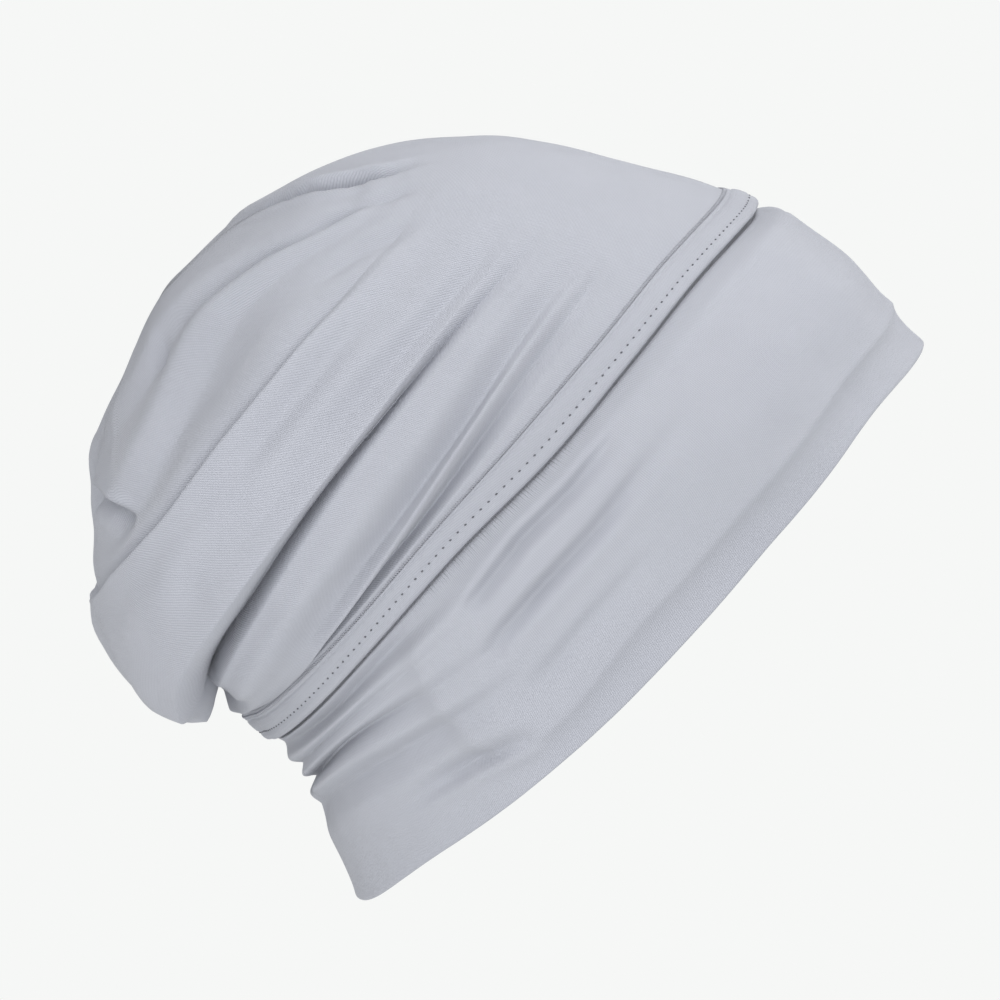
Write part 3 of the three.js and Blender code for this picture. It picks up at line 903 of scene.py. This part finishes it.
@dataclass(frozen=True)
class JerseyFinish:
    """Fine jersey: columns of small V-shaped loops that follow the cloth.

    `wale` and `course` are the width and the height of a loop, and `relief` its height above
    the hollows, in millimetres. `slant` says how steep its legs are, and `legs` how much of
    the relief is theirs. `face` is the colour on top of a loop; the darker colour between
    loops is painted shade in the knit's hollows. `knit_shade` and `mottle` are the knit's and
    the mottling's shares in the colour.
    """

    name: str
    wale: float = 0.9
    course: float = 0.75
    relief: float = 0.1
    gathers: Gathers | None = None
    slant: float = 1.3
    legs: float = 0.55
    face: Colour = (0.425, 0.437, 0.485)
    # Painted shade: the darker colour between the knit's loops
    shaded_hollow: Colour = (0.335, 0.347, 0.395)
    knit_shade: float = 0.85
    mottle: float = 0.3
    mottle_scale: float = 45.0
    brightest: float = 1.05
    roughness: float = 0.82
    specular: float = 0.25
    sheen: float = 0.16
    sheen_roughness: float = 0.45

    def material(self) -> bpy.types.Material:
        """Build the jersey's material.

        Returns:
            The material.
        """
        tree = Finish(self.name)
        u, v = tree.uv()
        across = ((u / self.wale).fract() - 0.5).abs()
        legs = tree.math("SINE", across * (2 * math.pi))
        loops = (v / self.course + across * self.slant).arch()
        knit = legs * (self.legs + loops * (1 - self.legs))
        # The colour darkens where the knit lies low, which is painted shade in its hollows, plus random
        # mottling
        shade = knit * self.knit_shade + tree.noise(self.mottle_scale, 3.0) * self.mottle
        height = knit + self.gathers.relief(u, v) if self.gathers else knit
        inputs = {
            "Base Color": tree.blend(shade.ramp(0.0, self.brightest), self.shaded_hollow, self.face),
            "Roughness": self.roughness,
            "Specular IOR Level": self.specular,
            "Sheen Weight": self.sheen,
            "Sheen Roughness": self.sheen_roughness,
            "Normal": tree.bump(height, self.relief),
        }
        return tree.close("ShaderNodeBsdfPrincipled", inputs)


@dataclass(frozen=True)
class ThreadFinish:
    """Twisted sewing thread, darker between its strands by painted shade."""

    name: str
    colour: Colour
    # Painted shade: how much darker the thread is between its strands
    shaded_hollow: float = 0.72
    twist_scale: float = 4200.0
    relief: float = 0.05
    strength: float = 0.6
    roughness: float = 0.6

    def material(self) -> bpy.types.Material:
        """Build the thread's material.

        Returns:
            The material.
        """
        tree = Finish(self.name)
        twist = tree.noise(self.twist_scale, 2.0)
        # Painted shade between the strands
        strand_shade = tuple(self.shaded_hollow * c for c in self.colour)
        inputs = {
            "Base Color": tree.blend(twist.ramp(0.3, 0.7), strand_shade, self.colour),
            "Roughness": self.roughness,
            "Normal": tree.bump(twist, self.relief, self.strength),
        }
        return tree.close("ShaderNodeBsdfPrincipled", inputs)


# Mesh building


def deselect() -> None:
    """Deselect every object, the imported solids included."""
    bpy.ops.object.select_all(action="DESELECT")


def make_active(piece: bpy.types.Object) -> None:
    """Select one object alone and make it the active one."""
    deselect()
    piece.select_set(True)
    bpy.context.view_layer.objects.active = piece


def weld(piece: bpy.types.Object) -> None:
    """Merge the points that meet, drop what is left without area, and face outwards."""
    make_active(piece)
    bpy.ops.object.mode_set(mode="EDIT")
    bpy.ops.mesh.select_all(action="SELECT")
    bpy.ops.mesh.remove_doubles(threshold=2 * TINY)
    bpy.ops.mesh.dissolve_degenerate(threshold=TINY)
    bpy.ops.mesh.select_all(action="SELECT")
    bpy.ops.mesh.delete_loose()
    bpy.ops.mesh.select_all(action="SELECT")
    bpy.ops.mesh.normals_make_consistent(inside=False)
    bpy.ops.object.mode_set(mode="OBJECT")


def dress(piece: bpy.types.Object, material: bpy.types.Material, role: Role) -> None:
    """Shade a piece smooth, give it its material, hang it from the root body and hide the solid that it
    replaces.

    Args:
        piece: the piece.
        material: its material.
        role: the solid that it replaces, if any.
    """
    make_active(piece)
    bpy.ops.object.shade_smooth()
    piece.data.materials.append(material)
    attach(piece, ROOT)
    if role.node:
        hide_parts(role.node)


@dataclass(frozen=True)
class Wall:
    """The two faces of a cloth.

    `thickness` is the distance between them, and the inner one keeps one row of `skip`. The
    lowest edge may be `rounded`, and `ring` says that the cloth runs all the way round.
    """

    thickness: float
    skip: int = 3
    rounded: bool = False
    ring: bool = True
    round_rows: int = 7

    def _outward(self, points: Array) -> Array:
        """Return the outward normals of a grid of points.

        Args:
            points: rows by columns of points.

        Returns:
            One unit vector for each point.
        """
        across = np.gradient(points, axis=1)
        if self.ring:
            turn = np.roll(points[:, :-1], -1, 1) - np.roll(points[:, :-1], 1, 1)
            across = np.concatenate([turn, turn[:, :1]], 1)
        normals = unit(np.cross(np.gradient(points, axis=0), across))
        if np.ptp(points[-1], axis=0).max() < TINY:
            normals[-1] = unit(normals[-2].mean(0))
        return normals

    def both_faces(self, outer: Array, knit: Array) -> tuple[Array, Array]:
        """Put the inner face's rows before the outer's, from its upper edge down.

        Args:
            outer: rows by columns of points of the outer face, in millimetres.
            knit: rows by columns of knit coordinates, in millimetres of cloth.

        Returns:
            The points and the knit coordinates of one flat grid over both faces.
        """
        ways = self._outward(outer)
        kept = np.unique(np.append(np.arange(len(outer) - 1, 0, -self.skip), [0]))[::-1]
        inner = outer[kept] - ways[kept] * self.thickness
        rows, maps = [inner], [knit[kept]]
        if self.rounded:
            down = -unit(outer[1] - outer[0])
            middle = outer[0] - ways[0] * self.thickness / 2
            for turn in np.linspace(math.pi, 0, self.round_rows + 2)[1:-1]:
                way = ways[0] * math.cos(turn) + down * math.sin(turn)
                rows.append((middle + way * self.thickness / 2)[None])
                maps.append(knit[:1])
        rows.extend([outer, inner[:1]])
        maps.extend([knit, knit[kept[:1]]])
        return np.concatenate(rows), np.concatenate(maps)


@dataclass(frozen=True)
class ClothPiece:
    """What the cap's pieces of cloth have in common. `flat` is a sheet's size in metres."""

    role: Role
    finish: JerseyFinish
    wall: Wall
    flat: tuple[float, float]
    columns: int = 288

    @property
    def angle(self) -> Array:
        """Return the angles of the piece's columns, once round the cap."""
        return np.linspace(0, 360, self.columns + 1)

    def lay(self, outer: Array, knit: Array) -> bpy.types.Object:
        """Fold a flat grid over both faces of the cloth, and dress it.

        Args:
            outer: rows by columns of points of the outer face, in millimetres.
            knit: rows by columns of knit coordinates, in millimetres of cloth.

        Returns:
            The finished piece.
        """
        points, knit = self.wall.both_faces(outer, knit)
        rows, columns = points.shape[:2]
        deselect()
        bpy.ops.mesh.primitive_grid_add(x_subdivisions=columns - 1, y_subdivisions=rows - 1)
        piece = bpy.context.active_object
        piece.name = piece.data.name = self.role.piece
        mesh = piece.data
        mesh.vertices.foreach_set("co", FORM.to_world(points).reshape(-1))
        corner = np.empty(len(mesh.loops), np.int64)
        mesh.loops.foreach_get("vertex_index", corner)
        layer = mesh.uv_layers[0]
        layer.name = UV_NAME
        layer.data.foreach_set("uv", knit.reshape(-1, 2)[corner].astype(np.float32).reshape(-1))
        mesh.update()
        weld(piece)
        dress(piece, self.finish.material(), self.role)
        return piece


# The cap's pieces


@dataclass(frozen=True)
class Crown(ClothPiece):
    """The slouched bag of thin jersey over the top and back of the head."""

    role: Role = Role.CROWN
    finish: JerseyFinish = JerseyFinish("crown jersey", wale=1.12, course=0.8)
    wall: Wall = Wall(1.0)
    flat: tuple[float, float] = (0.54, 0.17)
    flat_share: float = 0.75
    hem: tuple[TapeLine, ...] = (
        TapeLine(Edge.UPPER, -4.0, -0.75),
        TapeLine(Edge.UPPER, -0.6, -0.75, 3),
        TapeLine(Edge.UPPER, 0.35, 0.05, 3),
    )
    hem_calm: float = 0.6
    tip_calm: float = 1.5
    tip_out: float = 0.3
    tip_steps: int = 16
    waves: tuple[Waves, ...] = (Waves(0.35, 44.0, 7), Waves(0.14, 16.0, 11))
    knit_turn: float = math.radians(42)
    knit_round: float = 84.0
    knit_middle: float = 100.0

    def surface(self) -> Surface:
        """Lay the folds, creases and slow waves of the crown.

        Returns:
            The crown's outer face.
        """
        angle = self.angle
        tip = np.full_like(angle, FORM.top_level)
        hem = [line.track(angle) for line in self.hem]
        folds = [Track.of_fold(line, angle, FORM.left_shift) for line in CROWN_LINES]
        cloth = Surface(angle, [*hem, *folds, Track.even(tip, self.tip_out, self.tip_steps)])
        for crease in CROWN_CREASES:
            cloth.press(crease)
        calm = smooth((cloth.level - hem[-1].level) / self.hem_calm)
        calm = calm * smooth((FORM.top_level - cloth.level) / self.tip_calm)
        for waves in self.waves:
            cloth.wander(waves, calm)
        for rows in (cloth.base, cloth.out_way, cloth.up_way):
            rows[-1] = rows[-1, :1]
        cloth.out[-1] = cloth.out[-1, 0]
        return cloth

    def build(self) -> bpy.types.Object:
        """Build the crown's cloth, its knit turned so that the wales lie level at the side.

        Returns:
            The finished piece.
        """
        cloth = self.surface()
        points = cloth.points()
        around = np.radians(cloth.angle - self.knit_middle) * self.knit_round
        rise = arc_up(points)
        c, s = math.cos(self.knit_turn), math.sin(self.knit_turn)
        piece = self.lay(points, np.stack([rise * s - around * c, rise * c + around * s], -1))
        return piece


@dataclass(frozen=True)
class LiningShape:
    """Outline of the inner layer at the forehead, in degrees and levels.

    Its ends lie at `end` and are rounded over `round_from` degrees. Its lower edge rises by
    `front_rise` from `front_from` degrees before the end, over `front_fade` degrees. `spread`
    is how far beyond its edge the band still stands proud, in millimetres.
    """

    end: float = 119.5
    round_from: float = 13.0
    low: float = 0.66
    middle: float = 2.15
    top: float = 3.75
    front_rise: float = 0.25
    front_from: float = 14.0
    front_fade: float = 20.0
    spread: float = 3.6
    per_degree: float = 1.5

    def _rise(self, angle: Array) -> Array:
        """Return how far the lower edge lies above `low` towards the brow."""
        front = self.end - self.front_from - fold_angle(angle)
        return self.front_rise * smooth(front / self.front_fade)

    def edges(self, angle: Array) -> tuple[Array, Array]:
        """Return the levels of its lower and upper edge, which meet at its rounded end."""
        along = (fold_angle(angle) - self.end) / self.round_from + 1
        open_ = np.sqrt(1 - np.clip(along, 0, 1) ** 2)
        low = self.middle - (self.middle - self.low) * open_ + self._rise(angle)
        return low, self.middle + (self.top - self.middle) * open_

    def cover(self, angle: Array, level: Array) -> Array:
        """Return how much the layer lifts the band.

        Args:
            angle: angles in degrees.
            level: levels of the band.

        Returns:
            1 over the layer, falling to 0 beyond its edge.
        """
        along = (fold_angle(angle) - self.end + self.round_from) * self.per_degree
        along = np.maximum(along, 0.0)
        below = (self.middle - self.low - self._rise(angle)) * PER_LEVEL
        above = (self.top - self.middle) * PER_LEVEL
        across = (level - self.middle) * PER_LEVEL
        part = np.where(across > 0, across / above, across / below)
        share = np.hypot(along / (self.round_from * self.per_degree), part)
        inside = (1 - share) * np.hypot(along, across) / np.maximum(share, 0.05)
        return np.exp(np.minimum(inside, 0.0) / self.spread)


@dataclass(frozen=True)
class Headband(ClothPiece):
    """The wide band of folded jersey, ruched at the centre of the back."""

    role: Role = Role.BAND
    finish: JerseyFinish = JerseyFinish("band jersey", relief=0.09, gathers=Gathers())
    wall: Wall = Wall(1.8, rounded=True)
    flat: tuple[float, float] = (0.55, 0.066)
    top: tuple[TapeLine, ...] = (
        TapeLine(Edge.LOWER, 0.65, -0.9, 6),
        TapeLine(Edge.LOWER, 0.15, -2.2, 2),
        TapeLine(Edge.LOWER, -6.0, -2.2, 3),
    )
    lining: LiningShape = LiningShape()
    press_through: float = 3.5
    top_calm: float = 0.5
    brim_calm: float = 0.4
    waves: tuple[Waves, ...] = (Waves(0.3, 38.0, 3), Waves(0.1, 14.0, 5))
    knit_length: float = 540.0

    def surface(self) -> Surface:
        """Lay the soft rolls of the band and the step over the inner layer.

        Returns:
            The band's outer face.
        """
        angle = self.angle
        brim = np.full_like(angle, self.wall.thickness / 2 / PER_LEVEL)
        folds = [Track.of_fold(line, angle, 0.0) for line in BAND_LINES]
        top = [line.track(angle) for line in self.top]
        cloth = Surface(angle, [Track.even(brim, 0.0), *folds, *top])
        for crease in BAND_CREASES:
            cloth.press(crease)
        calm = smooth((top[0].level - cloth.level) / self.top_calm)
        cloth.out += self.press_through * self.lining.cover(cloth.angle, cloth.level) * calm
        for waves in self.waves:
            cloth.wander(waves, calm * smooth(cloth.level / self.brim_calm))
        return cloth

    def build(self) -> bpy.types.Object:
        """Build the band's cloth, its knit measured up from the tape's lower edge.

        Returns:
            The finished piece.
        """
        cloth = self.surface()
        points = cloth.points()
        edge_row = -1 - sum(line.steps for line in self.top[1:])
        arc = np.linspace(0, self.knit_length, self.columns + 1)
        rise = arc_up(points)
        knit = np.stack([np.broadcast_to(arc, rise.shape), rise - rise[edge_row]], -1)
        piece = self.lay(points, knit)
        return piece


@dataclass(frozen=True)
class ForeheadLining(ClothPiece):
    """The inner layer at the forehead, whose rounded ends press through the band."""

    role: Role = Role.LINING
    finish: JerseyFinish = JerseyFinish("lining jersey")
    wall: Wall = Wall(1.2, skip=2, ring=False)
    flat: tuple[float, float] = (0.36, 0.045)
    columns: int = 160
    rows: int = 26
    inset: float = 2.6
    knit_per_degree: float = 1.55

    def build(self, shape: LiningShape, band: Surface) -> bpy.types.Object:
        """Build the inner layer against the band's inner face.

        Args:
            shape: the layer's outline.
            band: the band's outer face.

        Returns:
            The finished piece.
        """
        angle = np.linspace(-shape.end, shape.end, self.columns + 1)
        low, top = shape.edges(angle)
        level = low + (top - low) * np.linspace(0, 1, self.rows + 1)[:, None]
        around = np.broadcast_to(angle, level.shape)
        out_way, _, _ = FORM.directions(around, level)
        out = self._band_relief(band, angle, level) - self.inset
        points = FORM.point(around, level) + out_way * out[..., None]
        piece = self.lay(points, np.stack([around * self.knit_per_degree, arc_up(points)], -1))
        return piece

    @staticmethod
    def _band_relief(band: Surface, angle: Array, level: Array) -> Array:
        """Read how far the band stands out.

        Args:
            band: the band's outer face.
            angle: the columns' angles in degrees.
            level: rows by columns of levels.

        Returns:
            The band's relief at each level.
        """
        relief = np.empty_like(level)
        last = band.level.shape[1] - 1
        for column, place in enumerate(np.mod(angle, 360.0) / 360.0 * last):
            left = min(int(place), last - 1)
            low, high = (
                np.interp(level[:, column], band.level[:, k], band.out[:, k])
                for k in (left, left + 1)
            )
            relief[:, column] = low + (high - low) * (place - left)
        return relief


@dataclass(frozen=True)
class HemTape(ClothPiece):
    """The stitched tape over the joint of crown and band.

    `lower` and `upper` are the rows of its section: how far each lies in from the tape's
    lower or upper edge, and how far it stands out.
    """

    role: Role = Role.TAPE
    finish: JerseyFinish = JerseyFinish("tape jersey", wale=0.76, course=0.7)
    wall: Wall = Wall(1.0, skip=1)
    flat: tuple[float, float] = (0.56, 0.0105)
    columns: int = 720
    lower: tuple[tuple[float, float], ...] = (
        (0.0, 0.1), (0.15, 0.55), (0.6, 0.92), (1.4, 1.02),
        (2.2, 0.86), (2.7, 0.62), (3.1, 0.62), (3.7, 0.84),
    )
    upper: tuple[tuple[float, float], ...] = (
        (3.4, 0.84), (2.3, 0.76), (1.7, 0.62), (1.35, 0.36), (1.15, 0.34),
        (0.85, 0.48), (0.4, 0.46), (0.1, 0.3), (0.0, 0.05),
    )

    @cached_property
    def arc(self) -> Array:
        """Return the length of the tape up to each column, in millimetres."""
        middle = FORM.point(self.angle, FORM.beside_seam(self.angle, 0.0))
        return arc_up(middle[:, None])[:, 0]

    def angle_at(self, distance: Array) -> Array:
        """Return the angle at a distance along the tape, in millimetres."""
        return np.interp(np.mod(distance, self.arc[-1]), self.arc, self.angle)

    def build(self) -> bpy.types.Object:
        """Build the tape's cloth.

        Returns:
            The finished piece.
        """
        lines = [TapeLine(Edge.LOWER, -inset, out) for inset, out in self.lower]
        lines += [TapeLine(Edge.UPPER, -inset, out) for inset, out in self.upper]
        cloth = Surface(self.angle, [line.track(self.angle) for line in lines])
        across = np.array([line.across(self.angle) for line in lines])
        knit = np.stack([np.broadcast_to(self.arc, across.shape), across], -1)
        return self.lay(cloth.points(), knit)


@dataclass(frozen=True)
class StitchRow:
    """A row of stitches along one edge of the tape.

    Each stitch goes from `start` to `end`. Both hold a distance along the tape and how far it
    lies in from the edge. It lies at `out` and arches over the cloth by `arch`.
    """

    role: Role
    edge: Edge
    pitch: float
    start: tuple[float, float]
    end: tuple[float, float]
    radius: float
    out: float
    arch: float
    colour: Colour


STITCH_ROWS = (
    StitchRow(
        Role.OVER_EDGE, Edge.UPPER, pitch=0.75, start=(0.0, 0.25), end=(0.3, -0.95),
        radius=0.12, out=0.16, arch=0.3, colour=(0.4, 0.41, 0.455),
    ),
    # Running stitches: their near-black colour is partly the thread and partly painted shade of the holes
    # they sink into
    StitchRow(
        Role.RUNNING, Edge.LOWER, pitch=2.65, start=(0.0, 2.75), end=(0.6, 2.85),
        radius=0.24, out=0.5, arch=0.14, colour=(0.1, 0.105, 0.12),
    ),
)


@dataclass(frozen=True)
class Stitching:
    """One row of stitches, each a short arched length of thread with rounded ends.

    `shares` say where along a stitch its rings lie, and `girths` how wide each one is.
    """

    row: StitchRow
    tape: HemTape
    shares: tuple[float, ...] = (0.0, 0.0, 0.25, 0.5, 0.75, 1.0, 1.0)
    girths: tuple[float, ...] = (0.0, 0.6, 0.95, 1.0, 0.95, 0.6, 0.0)
    sides: int = 6

    @property
    def count(self) -> int:
        """Return how many stitches go round the tape."""
        return round(self.tape.arc[-1] / self.row.pitch)

    def points(self) -> Array:
        """Work out the rings of every stitch.

        Returns:
            Stitches by rings by corners of points, in the head's frame.
        """
        row, length = self.row, self.tape.arc[-1]
        share = np.array(self.shares)[None, :]
        starts = np.arange(self.count)[:, None] * length / self.count
        along = starts + row.start[0] + (row.end[0] - row.start[0]) * share
        inset = row.start[1] + (row.end[1] - row.start[1]) * share
        angle = self.tape.angle_at(along)
        across = row.edge.value * (station_value(TAPE_WIDTH, angle) / 2 - inset)
        level = FORM.beside_seam(angle, across)
        out_way, _, _ = FORM.directions(angle, level)
        out = row.out + row.arch * np.sin(math.pi * share)
        centre = FORM.point(angle, level) + out_way * np.broadcast_to(out, level.shape)[..., None]
        way = unit(np.gradient(centre, axis=1))
        side = unit(np.cross(out_way, way))
        lift = unit(np.cross(way, side))
        turn = np.linspace(0, 2 * math.pi, self.sides + 1)[:, None]
        ring = side[:, :, None, :] * np.cos(turn) + lift[:, :, None, :] * np.sin(turn)
        girth = row.radius * np.array(self.girths)[:, None, None]
        return centre[:, :, None, :] + ring * girth

    def build(self) -> bpy.types.Object:
        """Model one stitch, repeat it round the tape, and lay each copy in its place.

        Returns:
            The finished row.
        """
        deselect()
        rings = len(self.shares) - 1
        bpy.ops.mesh.primitive_grid_add(x_subdivisions=self.sides, y_subdivisions=rings)
        piece = bpy.context.active_object
        piece.name = piece.data.name = self.row.role.piece
        repeat = piece.modifiers.new("round the tape", "ARRAY")
        repeat.count = self.count
        bpy.ops.object.modifier_apply(modifier=repeat.name)
        piece.data.vertices.foreach_set("co", FORM.to_world(self.points()).reshape(-1))
        weld(piece)
        finish = ThreadFinish(f"{piece.name} thread", self.row.colour)
        dress(piece, finish.material(), self.row.role)
        return piece


# Studio


@dataclass(frozen=True)
class SoftBox:
    """A large soft light: the way to it in degrees, its side in metres and its power."""

    name: str
    turn: float
    rise: float
    side: float
    power: float
    distance: float = 1.8


@dataclass(frozen=True)
class Studio:
    """The camera of the photograph, a pale floor and soft light."""

    aim: tuple[float, float, float] = (-0.0358, 0.0, 0.0318)
    elevation: float = 8.4
    distance: float = 1.6
    lens: float = 221.8
    floor_drop: float = 0.34
    floor_side: float = 60.0
    pale: Colour = (0.922, 0.931, 0.922)
    room: float = 0.3
    boxes: tuple[SoftBox, ...] = (
        SoftBox("low front light", 10.0, 5.0, 0.8, 18.0),
        SoftBox("left light", -40.0, 30.0, 1.3, 11.5),
        SoftBox("top light", 0.0, 80.0, 1.3, 7.0),
        SoftBox("back light", 120.0, 50.0, 1.3, 27.0),
        SoftBox("far left light", -100.0, 40.0, 1.3, 3.6),
    )

    def build(self) -> None:
        """Set up the camera, the lights, the floor and the room."""
        self._camera()
        for box in self.boxes:
            self._light(box)
        self._floor()
        self._room()
        bpy.context.scene.view_settings.view_transform = "Standard"

    def _aimed(
        self, data: bpy.types.Camera | bpy.types.Light, turn: float, rise: float, distance: float
    ) -> bpy.types.Object:
        """Place a camera or a light so that it faces the cap.

        Args:
            data: the camera or the light.
            turn: the way to it round the cap, from the camera's side, in degrees.
            rise: the way to it upwards, in degrees.
            distance: how far away it stands, in metres.

        Returns:
            The placed object.
        """
        around, up = math.radians(turn), math.radians(rise)
        flat = math.cos(up)
        way = Vector((math.sin(around) * flat, -math.cos(around) * flat, math.sin(up)))
        placed = bpy.data.objects.new(data.name, data)
        placed.location = Vector(self.aim) + way * distance
        placed.rotation_euler = way.to_track_quat("Z", "Y").to_euler()
        bpy.context.scene.collection.objects.link(placed)
        return placed

    def _camera(self) -> None:
        """Place the camera at the photograph's viewing angle."""
        data = bpy.data.cameras.new("camera")
        data.lens = self.lens
        bpy.context.scene.camera = self._aimed(data, 0.0, self.elevation, self.distance)

    def _light(self, box: SoftBox) -> None:
        """Add one soft box that faces the cap."""
        data = bpy.data.lights.new(box.name, "AREA")
        data.size = box.side
        data.energy = box.power
        self._aimed(data, box.turn, box.rise, box.distance)

    def _floor(self) -> None:
        """Add the pale floor, well below the held cap."""
        low = CAD_BOX[0][2] - self.floor_drop
        deselect()
        bpy.ops.mesh.primitive_plane_add(size=self.floor_side, location=(0.0, 0.0, low))
        floor = bpy.context.active_object
        floor.name = "floor"
        inputs = {"Color": (*self.pale, 1), "Strength": 1.0}
        floor.data.materials.append(Finish("pale floor").close("ShaderNodeEmission", inputs))

    def _room(self) -> None:
        """Fill the room with pale light."""
        world = bpy.data.worlds.new("pale room")
        world.use_nodes = True
        back = world.node_tree.nodes["Background"]
        back.inputs["Color"].default_value = (*self.pale, 1)
        back.inputs["Strength"].default_value = self.room
        bpy.context.scene.world = world


def report(piece: bpy.types.Object) -> bpy.types.Object:
    """Log a finished piece and hand it on."""
    LOG.info("%s: %d faces", piece.name, len(piece.data.polygons))
    return piece


def main() -> None:
    """Build the studio and the cap's pieces in order."""
    logging.basicConfig(level=logging.INFO, format="%(message)s")
    Studio().build()
    report(Crown().build())
    headband = Headband()
    report(headband.build())
    report(ForeheadLining().build(headband.lining, headband.surface()))
    hem = HemTape()
    tape = report(hem.build())
    rows = [report(Stitching(row, hem).build()) for row in STITCH_ROWS]


if __name__ == "__main__":
    main()
